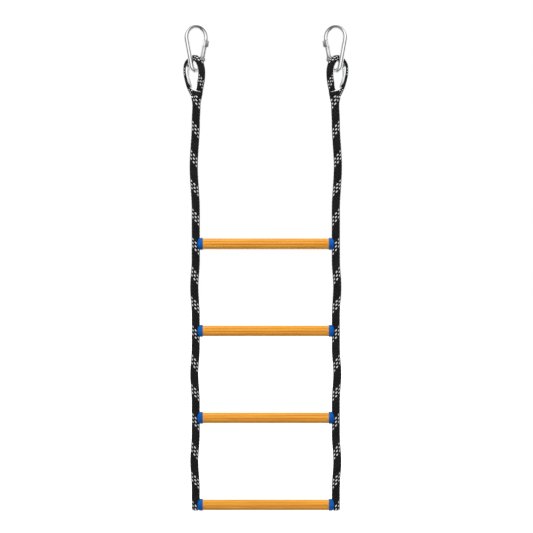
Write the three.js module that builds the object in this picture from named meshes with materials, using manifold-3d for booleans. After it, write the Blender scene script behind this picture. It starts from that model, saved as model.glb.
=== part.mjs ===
// Escape rope ladder: two rope sides with spliced eyes, four ribbed resin rungs between moulded end caps,
// and a spring-gate snap hook in each eye.
// Millimetres, +Z up, +X along the rungs, -Y is the climber's side.
// The origin is on the line that both hooks hang on, halfway between them.
import * as THREE from 'three';
import { mergeVertices } from 'three/addons/utils/BufferGeometryUtils.js';
import Module from 'manifold-3d';

const wasm = await Module();
wasm.setup();

const GAP = 0.3; // running clearance between touching pieces
const DEGREE = Math.PI / 180;

// Whole ladder
const SIDE_X = 225.5; // rope centreline at the rungs, from the middle of the ladder
const RUNG_COUNT = 4;
const FIRST_RUNG_Z = -693.1;
const RUNG_PITCH = 280;
const LADDER_FOOT_Z = -1551.6;

// Side rope
const ROPE_R = 13.4;
const ROPE_SIDES = 10;
const ROPE_STEP = 56;
const TOP_FOLD_Z = -445; // where the long top stretch folds for storage
const STRAIGHT_AT_RUNG = 50; // the rope runs straight this far above and below a rung
const TOP_BOW = 6.5; // the rope bows outwards between its straight stretches
const TOP_BOW_FROM = -307;
const TOP_BOW_TO = -583;
const BAY_BOW = 4.6;
const SPLICE_INSET = 2.2; // the spliced eye sits a little inside the rope line

// Spliced eye and its thimble, drawn in the eye's own plane
const EYE_TURN = 50 * DEGREE; // the eye's plane turns its inner leg towards the climber
const EYE_ROPE_R = 10.9;
const SPLICE_TOP_Z = -208.6;
const SPLICE_END_Z = -246.6;
const SPLICE_HALF_WIDTH = 27;
const THIMBLE_WALL = 1.6;
const THIMBLE_WRAP = 50 * DEGREE; // the channel reaches this far round the rope from the inside of the eye
const EYE_ROUTE = [
  [-12.5, -212.6], [-23.2, -200], [-33.9, -184], [-44, -162], [-51.2, -136], [-48.8, -115.5],
  [-34.5, -101.8], [-13.7, -95.2], [6.5, -99.5], [19.6, -112.5], [27.4, -134], [27.8, -154],
  [23.8, -177], [17.3, -197], [14, -212.6],
];
const THIMBLE_FROM = 0.058; // shares of the eye's length where the thimble begins and ends
const THIMBLE_TO = 0.945;

// Snap hook, drawn in its own plane with the gate on +X
const HOOK_X = -224.2;
const HOOK_Y = 2;
const HOOK_TURN = 30 * DEGREE; // the hook's plane turns its back towards the climber
const ROD_R = 8;
const CROWN_R = 35.6;
const TAPER = 11.8 * DEGREE;
const HOOK_LOWEST_Z = -142.9;
const HINGE_Z = -98.6;
const TONGUE_HALF_THICKNESS = 3.2;
const TONGUE_R = 6.8;
const SHOULDER = 8.8; // from the gate's pivot to the end of the rod
const RIVET_R = 2.4;
const RIVET_HEAD_R = 4;
const RIVET_HEAD_THICKNESS = 1.2;

// Gate, drawn upright with its pivot at the origin and +X out of the hook
const GATE_LENGTH = 62.6;
const NOSE_SHOULDER = 63.9;
const CHEEK_HALF_WIDTH = 7;
const CHEEK_END = 11; // the cheeks are flat up to here
const HEAD_START = 41;
const HEAD_OUT = 12.2;
const HEAD_HALF_THICKNESS = 8.9;
const HEAD_CORNER_R = 5.2;
const NOSE_TIP = 52.8; // lower end of the T-shaped nose
const NOSE_NECK = 57.1; // where the nose's head meets its neck
const NOSE_HALF_NECK = 2.6;
const NOSE_FLAT_X = -2.8; // the nose is cut flat on the gate's side
const NOSE_ROOM = 2.5; // free length in the gate below the nose, for its swing
const SPRING_BORE_R = 3.1;
const SPRING_BORE_END = 36;
const PLUNGER_TIP = 7.4;
const PLUNGER_END = 15.6;
const PLUNGER_CHAMFER = 1;
const SPRING_R = 2.3;
const SPRING_WIRE_R = 0.5;
const SPRING_TURNS = 6;

// Rungs
const TUBE_R = 17.5;
const TUBE_BORE_R = 12.9;
const TUBE_END = 17.6; // distance of the tube's end from the rope centreline
const RIB_COUNT = 10;
const RIB_PHASE = 4 * DEGREE;
const GROOVE_DEPTH = 1.2;
const RIB_CREST = 0.26; // half the crest's width, as a share of the rib pitch
const GROOVE_FROM = 0.42; // where the groove's bottom starts, as a share of the rib pitch
const PLAIN_COLLAR = 6.4; // unribbed tube beside each cap
const CAP_R = 19.7;
const CAP_END = 22.7;
const CAP_DOME_CENTRE = 12.5;
const CAP_DOME_DEPTH = 9.3;
const CAP_SPIGOT_END = 42;
const CAP_CHAMFER = 0.8;
const CROSS_ROPE_R = 7;

function material(color, roughness, metalness) {
  return new THREE.MeshStandardMaterial({ color, roughness, metalness });
}

const ROPE_BLACK = () => material(0x1c1c1e, 0.9, 0);
const CROSS_ROPE_BLACK = () => material(0x26262a, 0.9, 0);
const ZINC = () => material(0xd4d6da, 0.3, 0.9);
const GATE_ZINC = () => material(0xc8cace, 0.38, 0.9);
const RIVET_STEEL = () => material(0xa9acb0, 0.4, 0.9);
const SPRING_STEEL = () => material(0x8f9398, 0.4, 0.9);
const THIMBLE_STEEL = () => material(0xdedfe2, 0.25, 0.95);
const AMBER_RESIN = () => material(0xe9a238, 0.35, 0);
const BLUE_PLASTIC = () => material(0x1463cf, 0.4, 0);

// Facets round each shape and steps along each sweep
const ROD_SIDES = 12;
const SMALL_ROD_SIDES = 16;
const ROUND_SIDES = 24;
const EYE_STEPS = 36;
const HOOK_STEPS = 44;
const TUBE_SIDES = 4 * RIB_COUNT;
const OVERLAP = 1; // cutting shapes run this far past the faces they cut

function bareGeometry(geometry) {
  const bare = new THREE.BufferGeometry();
  bare.setAttribute('position', geometry.getAttribute('position').clone());
  if (geometry.index) bare.setIndex(geometry.index.clone());
  return mergeVertices(bare, 1e-4);
}

// Booleans: solid() gives a manifold, geometryOf() gives the result back as a BufferGeometry.
function solid(geometry) {
  const merged = bareGeometry(geometry);
  const vertProperties = new Float32Array(merged.getAttribute('position').array);
  const triVerts = new Uint32Array(merged.index.array);
  return new wasm.Manifold(new wasm.Mesh({ numProp: 3, vertProperties, triVerts }));
}

function geometryOf(manifold) {
  const mesh = manifold.getMesh();
  const geometry = new THREE.BufferGeometry();
  geometry.setAttribute('position', new THREE.BufferAttribute(new Float32Array(mesh.vertProperties), 3));
  geometry.setIndex(new THREE.BufferAttribute(new Uint32Array(mesh.triVerts), 1));
  return geometry;
}

function mirrored(geometry) {
  const copy = bareGeometry(geometry).scale(-1, 1, 1);
  const corners = copy.index.array;
  for (let i = 0; i < corners.length; i += 3) {
    [corners[i], corners[i + 1]] = [corners[i + 1], corners[i]];
  }
  return copy;
}

function box(low, high) {
  const size = high.map((value, i) => value - low[i]);
  const geometry = new THREE.BoxGeometry(...size);
  return geometry.translate(...low.map((value, i) => value + size[i] / 2));
}

function rodAlongZ(radius, from, to, sides) {
  return new THREE.CylinderGeometry(radius, radius, to - from, sides)
    .rotateX(Math.PI / 2)
    .translate(0, 0, (from + to) / 2);
}

function rodAlongY(radius, from, to, sides) {
  return new THREE.CylinderGeometry(radius, radius, to - from, sides).translate(0, (from + to) / 2, 0);
}

function rodAlongX(radius, from, to, sides) {
  return new THREE.CylinderGeometry(radius, radius, to - from, sides)
    .rotateZ(Math.PI / 2)
    .translate((from + to) / 2, 0, 0);
}

function polygonShape(points) {
  return new THREE.Shape(points.map(([x, y]) => new THREE.Vector2(x, y)));
}

function circlePoints(radius, sides, phase = 0) {
  return Array.from({ length: sides }, (_, i) => {
    const angle = phase + (i / sides) * 2 * Math.PI;
    return [radius * Math.cos(angle), radius * Math.sin(angle)];
  });
}

function sweep(points, curve, steps) {
  const options = { extrudePath: curve, steps, bevelEnabled: false };
  return new THREE.ExtrudeGeometry(polygonShape(points), options);
}

// Side rope: its route depends on height alone, straight at the rungs and bowed outwards between them.
const rungZ = (n) => FIRST_RUNG_Z - n * RUNG_PITCH;
const foldZ = (n) => (n === 0 ? TOP_FOLD_Z : rungZ(n - 1) - RUNG_PITCH / 2);

function bowBetween(z, top, bottom, bow) {
  const share = THREE.MathUtils.clamp((top - z) / (top - bottom), 0, 1);
  return -bow * Math.sin(Math.PI * share) ** 2;
}

function ropeX(z) {
  if (z > FIRST_RUNG_Z) {
    const inset = SPLICE_INSET * (1 - THREE.MathUtils.smoothstep(SPLICE_END_Z - z, 0, ROPE_STEP));
    return inset + bowBetween(z, TOP_BOW_FROM, TOP_BOW_TO, TOP_BOW);
  }
  const bay = Math.min(Math.floor((FIRST_RUNG_Z - z) / RUNG_PITCH), RUNG_COUNT - 1);
  if (bay === RUNG_COUNT - 1) return 0;
  return bowBetween(z, rungZ(bay) - STRAIGHT_AT_RUNG, rungZ(bay + 1) + STRAIGHT_AT_RUNG, BAY_BOW);
}

class SideRoute extends THREE.Curve {
  constructor(top, bottom) {
    super();
    this.top = top;
    this.bottom = bottom;
  }

  getPoint(t, target = new THREE.Vector3()) {
    const z = THREE.MathUtils.lerp(this.top, this.bottom, t);
    return target.set(ropeX(z), 0, z);
  }
}

function ropeStretch(top, bottom) {
  const steps = Math.ceil((top - bottom) / ROPE_STEP) + 1;
  return sweep(circlePoints(ROPE_R, ROPE_SIDES), new SideRoute(top, bottom), steps);
}

// Spliced eye: the loop of rope and the tapered splice are one piece.
const eyePoints = EYE_ROUTE.map(([u, z]) => new THREE.Vector3(u, 0, z));
const eyeCurve = new THREE.CatmullRomCurve3(eyePoints, false, 'centripetal');

class PartOfCurve extends THREE.Curve {
  constructor(curve, from, to) {
    super();
    this.curve = curve;
    this.from = from;
    this.to = to;
  }

  getPoint(t, target = new THREE.Vector3()) {
    return this.curve.getPointAt(THREE.MathUtils.lerp(this.from, this.to, t), target);
  }
}

function spliceTaper() {
  const height = SPLICE_TOP_Z - SPLICE_END_Z;
  const taper = new THREE.CylinderGeometry(1, 1, height, SMALL_ROD_SIDES, 4).rotateX(Math.PI / 2);
  const position = taper.getAttribute('position');
  for (let i = 0; i < position.count; i += 1) {
    const share = 0.5 - position.getZ(i) / height;
    const eased = THREE.MathUtils.smoothstep(share, 0, 1);
    const halfWidth = THREE.MathUtils.lerp(SPLICE_HALF_WIDTH, ROPE_R, eased);
    const halfDepth = THREE.MathUtils.lerp(EYE_ROPE_R, ROPE_R, eased);
    position.setX(i, position.getX(i) * halfWidth);
    position.setY(i, position.getY(i) * halfDepth);
    position.setZ(i, THREE.MathUtils.lerp(SPLICE_TOP_Z, SPLICE_END_Z, share));
  }
  return taper;
}

function eyeSplice() {
  const loop = sweep(circlePoints(EYE_ROPE_R, ROPE_SIDES), eyeCurve, EYE_STEPS);
  return geometryOf(solid(loop).add(solid(spliceTaper())));
}

// Thimble: a channel swept round the inside of the eye. The section's +Y points into the eye.
function thimble() {
  const inner = EYE_ROPE_R + GAP;
  const facets = 5;
  const arc = (radius, from, to) =>
    Array.from({ length: facets + 1 }, (_, i) => {
      const angle = THREE.MathUtils.lerp(from, to, i / facets);
      return [radius * Math.sin(angle), radius * Math.cos(angle)];
    });
  const section = [
    ...arc(inner, -THIMBLE_WRAP, THIMBLE_WRAP),
    ...arc(inner + THIMBLE_WALL, THIMBLE_WRAP, -THIMBLE_WRAP),
  ];
  return sweep(section, new PartOfCurve(eyeCurve, THIMBLE_FROM, THIMBLE_TO), EYE_STEPS);
}

// Snap hook: crown arc, two tapering sides and a bottom bend, all tangent to one another.
const crownZ = ROD_R - CROWN_R;
const bendBottomZ = HOOK_LOWEST_Z + ROD_R;
const bendR = (CROWN_R + (bendBottomZ - crownZ) * Math.sin(TAPER)) / (1 - Math.sin(TAPER));
const bendZ = bendBottomZ + bendR;
const sideAt = (z) => (CROWN_R + (z - crownZ) * Math.sin(TAPER)) / Math.cos(TAPER);

function onArc(centreZ, radius, angle) {
  return new THREE.Vector3(radius * Math.cos(angle), 0, centreZ + radius * Math.sin(angle));
}

class HookArc extends THREE.Curve {
  constructor(centreZ, radius, from, to) {
    super();
    this.centreZ = centreZ;
    this.radius = radius;
    this.from = from;
    this.to = to;
  }

  getPoint(t, target = new THREE.Vector3()) {
    const angle = THREE.MathUtils.lerp(this.from, this.to, t);
    return target.copy(onArc(this.centreZ, this.radius, angle));
  }
}

const alongSide = (distance) =>
  new THREE.Vector3(
    sideAt(HINGE_Z) + distance * Math.sin(TAPER),
    0,
    HINGE_Z + distance * Math.cos(TAPER),
  );

function hookRod() {
  const route = new THREE.CurvePath();
  const spineFoot = onArc(bendZ, bendR, -Math.PI + TAPER);
  const spineTop = onArc(crownZ, CROWN_R, Math.PI + TAPER);
  route.add(new THREE.LineCurve3(alongSide(-SHOULDER), onArc(bendZ, bendR, -TAPER)));
  route.add(new HookArc(bendZ, bendR, -TAPER, -Math.PI + TAPER));
  route.add(new THREE.LineCurve3(spineFoot, spineTop));
  route.add(new HookArc(crownZ, CROWN_R, Math.PI + TAPER, -TAPER));
  route.add(new THREE.LineCurve3(onArc(crownZ, CROWN_R, -TAPER), alongSide(NOSE_SHOULDER)));
  return sweep(circlePoints(ROD_R, ROD_SIDES), route, HOOK_STEPS);
}

const inGateFrame = new THREE.Matrix4()
  .makeTranslation(...alongSide(0).toArray())
  .multiply(new THREE.Matrix4().makeRotationY(TAPER));

// T-shaped nose: a neck below the rod's end and a wider head that the gate closes over.
function nose() {
  const stem = solid(rodAlongZ(ROD_R - 2 * GAP, NOSE_TIP, NOSE_SHOULDER + OVERLAP, SMALL_ROD_SIDES));
  const wide = ROD_R + OVERLAP;
  const top = NOSE_SHOULDER + 2 * OVERLAP;
  const farSide = box([-wide, -wide, NOSE_TIP - OVERLAP], [NOSE_FLAT_X, wide, top]);
  const notch = box([-wide, NOSE_HALF_NECK, NOSE_NECK], [wide, wide, top]);
  const otherNotch = box([-wide, -wide, NOSE_NECK], [wide, -NOSE_HALF_NECK, top]);
  return stem.subtract(solid(farSide)).subtract(solid(notch)).subtract(solid(otherNotch));
}

// Flattened end of the rod that the gate's two cheeks straddle.
function tongue() {
  const half = TONGUE_HALF_THICKNESS;
  const end = solid(rodAlongY(TONGUE_R, -half, half, ROUND_SIDES));
  const root = solid(box([-TONGUE_R, -half, -SHOULDER - OVERLAP / 2], [TONGUE_R, half, 0]));
  const hole = solid(rodAlongY(RIVET_R + GAP, -ROD_R, ROD_R, SMALL_ROD_SIDES));
  return end.add(root).subtract(hole);
}

function hookBody() {
  const ends = geometryOf(nose().add(tongue())).applyMatrix4(inGateFrame);
  return geometryOf(solid(hookRod()).add(solid(ends)));
}

function gateHead() {
  const shape = new THREE.Shape();
  const r = HEAD_CORNER_R;
  const inX = -ROD_R + r;
  const outX = HEAD_OUT - r;
  const sideY = HEAD_HALF_THICKNESS - r;
  shape.absarc(outX, sideY, r, 0, Math.PI / 2);
  shape.absarc(inX, sideY, r, Math.PI / 2, Math.PI);
  shape.absarc(inX, -sideY, r, Math.PI, 1.5 * Math.PI);
  shape.absarc(outX, -sideY, r, 1.5 * Math.PI, 2 * Math.PI);
  const depth = GATE_LENGTH - HEAD_START;
  const head = new THREE.ExtrudeGeometry(shape, { depth, bevelEnabled: false, curveSegments: 3 });
  return head.translate(0, 0, HEAD_START);
}

function gate() {
  const bar = solid(rodAlongZ(ROD_R, 0, GATE_LENGTH, SMALL_ROD_SIDES));
  const foot = solid(rodAlongY(ROD_R, -CHEEK_HALF_WIDTH, CHEEK_HALF_WIDTH, ROUND_SIDES));
  const slotHalf = TONGUE_HALF_THICKNESS + GAP;
  const neckHalf = NOSE_HALF_NECK + GAP;
  const slotEnd = TONGUE_R + 1;
  const wide = 2 * ROD_R;
  const mouth = NOSE_FLAT_X - GAP;
  const mouthStart = NOSE_TIP - NOSE_ROOM;
  const cuts = [
    box([-wide, CHEEK_HALF_WIDTH, -wide], [wide, wide, CHEEK_END]),
    box([-wide, -wide, -wide], [wide, -CHEEK_HALF_WIDTH, CHEEK_END]),
    box([-wide, -slotHalf, -wide], [wide, slotHalf, slotEnd]),
    rodAlongY(RIVET_R + GAP, -wide, wide, SMALL_ROD_SIDES),
    rodAlongZ(SPRING_BORE_R, slotEnd - OVERLAP, SPRING_BORE_END, ROD_SIDES),
    box([mouth, -neckHalf, mouthStart], [wide, neckHalf, GATE_LENGTH + OVERLAP]),
    box([mouth, -ROD_R, mouthStart], [wide, ROD_R, NOSE_NECK + 0.5]),
  ];
  const blank = bar.add(foot).add(solid(gateHead()));
  return geometryOf(cuts.reduce((piece, cut) => piece.subtract(solid(cut)), blank));
}

function turned(profile, sides) {
  return new THREE.LatheGeometry(profile.map(([r, y]) => new THREE.Vector2(r, y)), sides);
}

function rivet() {
  const half = CHEEK_HALF_WIDTH + GAP;
  const rim = half + RIVET_HEAD_THICKNESS / 3;
  const outer = half + RIVET_HEAD_THICKNESS;
  const faceR = RIVET_HEAD_R - RIVET_HEAD_THICKNESS / 2;
  const profile = [
    [0, -outer], [faceR, -outer], [RIVET_HEAD_R, -rim], [RIVET_HEAD_R, -half], [RIVET_R, -half],
    [RIVET_R, half], [RIVET_HEAD_R, half], [RIVET_HEAD_R, rim], [faceR, outer], [0, outer],
  ];
  return turned(profile, SMALL_ROD_SIDES);
}

// Steel plug that the spring presses against the tongue.
function plunger() {
  const r = SPRING_BORE_R - GAP;
  const profile = [
    [0, PLUNGER_TIP], [r - PLUNGER_CHAMFER, PLUNGER_TIP], [r, PLUNGER_TIP + PLUNGER_CHAMFER],
    [r, PLUNGER_END], [0, PLUNGER_END],
  ];
  return turned(profile, ROD_SIDES).rotateX(Math.PI / 2);
}

class SpringRoute extends THREE.Curve {
  getPoint(t, target = new THREE.Vector3()) {
    const from = PLUNGER_END + GAP + SPRING_WIRE_R;
    const to = SPRING_BORE_END - GAP - SPRING_WIRE_R;
    const angle = t * SPRING_TURNS * 2 * Math.PI;
    const z = THREE.MathUtils.lerp(from, to, t);
    return target.set(SPRING_R * Math.cos(angle), SPRING_R * Math.sin(angle), z);
  }
}

function gateSpring() {
  const stepsPerTurn = 9;
  return sweep(circlePoints(SPRING_WIRE_R, 5), new SpringRoute(), SPRING_TURNS * stepsPerTurn);
}

// Rungs: drawn along X with the rope centreline of the left side at x = -SIDE_X.
// Each rib has a flat crest and sloping flanks down to a flat-bottomed groove.
function ribbedOutline() {
  const points = [];
  const grooveR = TUBE_R - GROOVE_DEPTH;
  const corners = [
    [-RIB_CREST, TUBE_R], [RIB_CREST, TUBE_R],
    [GROOVE_FROM, grooveR], [1 - GROOVE_FROM, grooveR],
  ];
  for (let rib = 0; rib < RIB_COUNT; rib += 1) {
    for (const [share, radius] of corners) {
      const angle = RIB_PHASE + ((rib + share) / RIB_COUNT) * 2 * Math.PI;
      points.push([radius * Math.cos(angle), radius * Math.sin(angle)]);
    }
  }
  return points;
}

function extrudeAlongX(shape, halfLength) {
  const geometry = new THREE.ExtrudeGeometry(shape, { depth: 2 * halfLength, bevelEnabled: false });
  return geometry.translate(0, 0, -halfLength).rotateY(Math.PI / 2).rotateX(Math.PI / 2);
}

function rungTube() {
  const ribbedHalf = SIDE_X - CAP_END - PLAIN_COLLAR;
  const blank = solid(rodAlongX(TUBE_R, TUBE_END - SIDE_X, SIDE_X - TUBE_END, TUBE_SIDES));
  const bore = solid(rodAlongX(TUBE_BORE_R, -SIDE_X, SIDE_X, ROUND_SIDES));
  const skin = polygonShape(circlePoints(TUBE_R + 2 * OVERLAP, TUBE_SIDES));
  skin.holes.push(polygonShape(ribbedOutline()));
  return geometryOf(blank.subtract(bore).subtract(solid(extrudeAlongX(skin, ribbedHalf))));
}

function domePoints() {
  const facets = 3;
  return Array.from({ length: facets + 1 }, (_, i) => {
    const angle = (i / facets) * (Math.PI / 2);
    return [CAP_R * Math.sin(angle), CAP_DOME_CENTRE - CAP_DOME_DEPTH * Math.cos(angle)];
  });
}

// End cap: a domed collar over the tube's end and a spigot inside it, saddled on the side rope.
function endCap() {
  const groove = TUBE_END - GAP;
  const grooveR = TUBE_R + GAP;
  const spigotR = TUBE_BORE_R - GAP;
  const profile = [
    ...domePoints(), [CAP_R, CAP_END - CAP_CHAMFER], [CAP_R - CAP_CHAMFER, CAP_END],
    [grooveR, CAP_END], [grooveR, groove],
    [spigotR, groove], [spigotR, CAP_SPIGOT_END], [0, CAP_SPIGOT_END],
  ];
  const blank = turned(profile, ROUND_SIDES).rotateZ(-Math.PI / 2);
  const saddle = solid(rodAlongZ(ROPE_R + 2 * GAP, -2 * CAP_R, 2 * CAP_R, SMALL_ROD_SIDES));
  const bore = solid(rodAlongX(CROSS_ROPE_R + 2 * GAP, -CAP_R, 2 * CAP_SPIGOT_END, ROD_SIDES));
  return geometryOf(solid(blank).subtract(saddle).subtract(bore));
}

function crossRope() {
  const end = SIDE_X - ROPE_R - GAP;
  return rodAlongX(CROSS_ROPE_R, -end, end, ROD_SIDES);
}

// Assembly
const group = new THREE.Group();

function place(name, geometry, itsMaterial, parent = group) {
  const mesh = new THREE.Mesh(geometry, itsMaterial);
  mesh.name = name;
  parent.add(mesh);
  return mesh;
}

function frameAt(x, y, z, turn, parent = group) {
  const frame = new THREE.Group();
  frame.position.set(x, y, z);
  frame.rotation.z = turn;
  parent.add(frame);
  return frame;
}

// The right side is the left side's mirror image: its shapes are mirrored in their own frames
// and turned the other way.
for (const side of ['left', 'right']) {
  const sign = side === 'left' ? -1 : 1;
  const shape = (geometry) => (side === 'left' ? geometry : mirrored(geometry));

  const hookFrame = frameAt(-sign * HOOK_X, HOOK_Y, 0, -sign * HOOK_TURN);
  place(`${side}_hook_body`, shape(hookBody()), ZINC(), hookFrame);
  place(`${side}_gate`, shape(gate().applyMatrix4(inGateFrame)), GATE_ZINC(), hookFrame);
  place(`${side}_gate_rivet`, shape(rivet().applyMatrix4(inGateFrame)), RIVET_STEEL(), hookFrame);
  place(`${side}_gate_plunger`, shape(plunger().applyMatrix4(inGateFrame)), RIVET_STEEL(), hookFrame);
  place(`${side}_gate_spring`, shape(gateSpring().applyMatrix4(inGateFrame)), SPRING_STEEL(), hookFrame);

  const eyeFrame = frameAt(sign * (SIDE_X - SPLICE_INSET), 0, 0, sign * EYE_TURN);
  place(`${side}_eye_splice`, shape(eyeSplice()), ROPE_BLACK(), eyeFrame);
  place(`${side}_thimble`, shape(thimble()), THIMBLE_STEEL(), eyeFrame);

  const ropeFrame = frameAt(sign * SIDE_X, 0, 0, 0);
  place(`${side}_rope_top`, shape(ropeStretch(SPLICE_END_Z - GAP, TOP_FOLD_Z)), ROPE_BLACK(), ropeFrame);
  for (let n = 0; n < RUNG_COUNT; n += 1) {
    const bottom = n === RUNG_COUNT - 1 ? LADDER_FOOT_Z : foldZ(n + 1);
    place(`${side}_rope_${n + 1}`, shape(ropeStretch(foldZ(n) - GAP, bottom)), ROPE_BLACK(), ropeFrame);
    place(`rung_${n + 1}_${side}_cap`, shape(endCap()), BLUE_PLASTIC(), ropeFrame).position.z = rungZ(n);
  }
}

for (let n = 0; n < RUNG_COUNT; n += 1) {
  place(`rung_${n + 1}_tube`, rungTube(), AMBER_RESIN()).position.z = rungZ(n);
  place(`rung_${n + 1}_cross_rope`, crossRope(), CROSS_ROPE_BLACK()).position.z = rungZ(n);
}

export default group;
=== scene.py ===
"""Escape rope ladder: the looks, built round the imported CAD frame.

Sizes are in millimetres until mesh_piece() scales them to metres. The origin is on the line that both hooks
hang on, +X runs along the rungs and -Y towards the climber. Side pieces are drawn for the left side and
mirrored for the right.
"""
import math

import bmesh
import bpy
import numpy as np
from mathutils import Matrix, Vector


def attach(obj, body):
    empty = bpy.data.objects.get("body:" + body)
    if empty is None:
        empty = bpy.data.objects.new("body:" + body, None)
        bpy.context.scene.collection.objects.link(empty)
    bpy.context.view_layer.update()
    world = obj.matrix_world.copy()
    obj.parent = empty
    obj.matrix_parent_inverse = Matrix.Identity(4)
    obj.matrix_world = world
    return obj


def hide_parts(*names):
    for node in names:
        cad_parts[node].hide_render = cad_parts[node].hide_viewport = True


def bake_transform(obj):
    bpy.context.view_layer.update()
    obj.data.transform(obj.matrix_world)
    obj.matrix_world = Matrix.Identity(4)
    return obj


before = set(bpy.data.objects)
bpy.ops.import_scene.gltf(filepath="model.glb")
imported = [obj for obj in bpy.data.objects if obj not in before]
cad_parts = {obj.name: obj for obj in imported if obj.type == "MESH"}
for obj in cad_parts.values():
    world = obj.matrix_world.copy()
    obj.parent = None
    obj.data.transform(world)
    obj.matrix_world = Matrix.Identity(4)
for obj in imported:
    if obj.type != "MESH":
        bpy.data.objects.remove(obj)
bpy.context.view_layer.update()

MM = 0.001
GAP = 0.3  # room left between neighbouring pieces

# Whole ladder
SIDE_X = 225.5  # a side rope's centreline, from the ladder's middle
RUNG_COUNT = 4
FIRST_RUNG_Z = -693.1
RUNG_PITCH = 280.0
LADDER_FOOT_Z = -1551.6

# Side rope
ROPE_R = 13.4
FOOT_ROUNDING = 5.0
TOP_FOLD_Z = -445.0
STRAIGHT_AT_RUNG = 50.0  # length that doesn't bow, to each side of a rung
TOP_BOW = 6.5
TOP_BOW_FROM = -307.0
TOP_BOW_TO = -583.0
BAY_BOW = 4.6
SPLICE_INSET = 2.2  # how far inside SIDE_X the splice hangs
INSET_LENGTH = 56.0  # length over which the rope comes back out to SIDE_X
ROPE_AROUND = 96
ROPE_RING = 1.55  # spacing of the rope's rings
PATH_STEP = 4  # rings to each point of a rope's path

# Braid
CARRIERS = 8  # yarns of each hand
ROPE_PITCH = 94.0  # length over which a yarn goes once round
TRACER_Z = -325.2  # a height at which the yarns start a turn
TRACER_YARNS = 3  # light yarns, side by side, of one hand
BRAID_DEPTH = 1.1

# Spliced eye and its thimble
EYE_TURN = math.radians(50)
EYE_ROPE_R = 10.9
EYE_PITCH = 76.0
EYE_PHASE = -0.155
EYE_BRAID_DEPTH = 1.2
EYE_STATIONS = 241
EYE_AROUND = 80
SPLICE_TOP_Z = -208.6
SPLICE_END_Z = -246.6
SPLICE_AROUND = 112
SPLICE_STATIONS = 40
CROTCH_RISE = 12.0  # how far the splice reaches up between the eye's legs
CROTCH_WEB = 9.5  # how far the waist between the legs reaches past a rope's radius
CROTCH_Z = -217.0  # the splice shows no tracers above this
THIMBLE_WALL = 1.6
THIMBLE_LIP = 0.15
THIMBLE_WRAP = math.radians(50)
THIMBLE_FROM = 0.058
THIMBLE_TO = 0.945
THIMBLE_TIP = 26  # stations over which each end narrows
LIP_ANGLE = 0.16
TAIL_HALF_WIDTH = 2.9
# The tail's middle line, in the ladder's own axes
TAIL_ROUTE = [
    (-243.5, 12, -188.2), (-238, 7.5, -192.5), (-228.5, -8, -198.8), (-220, -20.8, -202.3),
    (-214, -23.3, -204.2), (-209, -22.6, -205.6),
]
# The eye rope's middle line, across and up in the eye's own plane, from one leg round to the other
EYE_ROUTE = [
    (-12.5, -212.6), (-23.2, -200), (-33.9, -184), (-44, -162), (-51.2, -136), (-48.8, -115.5),
    (-34.5, -101.8), (-13.7, -95.2), (6.5, -99.5), (19.6, -112.5), (27.4, -134), (27.8, -154),
    (23.8, -177), (17.3, -197), (14, -212.6),
]

# Snap hook and gate
HOOK_X = -224.2
HOOK_Y = 2.0
HOOK_TURN = math.radians(30)
ROD_R = 8.0
ROD_STATIONS = 240
ROD_SIDES = 32
ROD_END_ROUNDING = 0.9
CROWN_R = 35.6
TAPER = math.radians(11.8)
HOOK_LOWEST_Z = -142.9
HINGE_Z = -98.6
TONGUE_HALF_THICKNESS = 3.2
TONGUE_R = 6.8
SHOULDER = 8.8
RIVET_R = 2.4
RIVET_HEAD_R = 4.0
RIVET_HEAD_THICKNESS = 1.2
GATE_LENGTH = 62.6
NOSE_SHOULDER = 63.9
CHEEK_HALF_WIDTH = 7.0
CHEEK_END = 11.0
HEAD_START = 41.0
HEAD_OUT = 12.2
HEAD_HALF_THICKNESS = 8.9
HEAD_CORNER_R = 5.2
HEAD_SLOPE = 3.6
HEAD_SLOPE_IN = 4.0
HEAD_SLOPE_SIDE = 0.8
HEAD_EDGE = 4.4
NOSE_TIP = 52.8
NOSE_NECK = 57.1
NOSE_HALF_NECK = 2.6
NOSE_FLAT_X = -2.8
NOSE_ROOM = 2.5
BORE_SIDES = 32

# Rungs
TUBE_R = 17.5
TUBE_BORE_R = 12.9
TUBE_END = 17.6
RIB_COUNT = 10
RIB_PHASE = math.radians(4)
GROOVE_DEPTH = 1.2
GROOVE_END = 2.4
PLAIN_COLLAR = 6.4
TUBE_AROUND = 200
CAP_R = 19.7
CAP_END = 22.7
CAP_RIM_R = 0.9
CAP_BEAD = 0.35
CAP_SIDES = 72
CAP_DOME_CENTRE = 12.5
CAP_DOME_DEPTH = 9.3
CAP_SPIGOT_END = 42.0
CROSS_ROPE_HOLE_R = 7.6

# Camera, light and floor, in metres
CAMERA_X = 0.00225
CAMERA_Z = -0.766
CAMERA_DISTANCE = 8.0
VIEW_WIDTH = 1.716
SENSOR_WIDTH = 36  # millimetres
LADDER_MIDDLE = (0, 0, -0.75)
FLOOR_Z = -1.68
FLOOR_HALF_WIDTH = 60.0


# ---------------------------------------------------------------- camera
camera_data = bpy.data.cameras.new("camera")
camera = bpy.data.objects.new("camera", camera_data)
camera.location = (CAMERA_X, -CAMERA_DISTANCE, CAMERA_Z)
camera.rotation_euler = (math.pi / 2, 0, 0)
camera_data.sensor_width = SENSOR_WIDTH
camera_data.lens = SENSOR_WIDTH * CAMERA_DISTANCE / VIEW_WIDTH
camera_data.clip_end = 200
bpy.context.scene.collection.objects.link(camera)
bpy.context.scene.camera = camera


# ---------------------------------------------------------------- materials
def node(tree, kind, inputs=(), **settings):
    """Adds a node. inputs maps a socket's name or number to a value or to another node's output."""
    made = tree.nodes.new("ShaderNode" + kind)
    for key, value in settings.items():
        setattr(made, key, value)
    for key, value in dict(inputs).items():
        if isinstance(value, bpy.types.NodeSocket):
            tree.links.new(value, made.inputs[key])
        else:
            made.inputs[key].default_value = value
    return made


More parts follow.
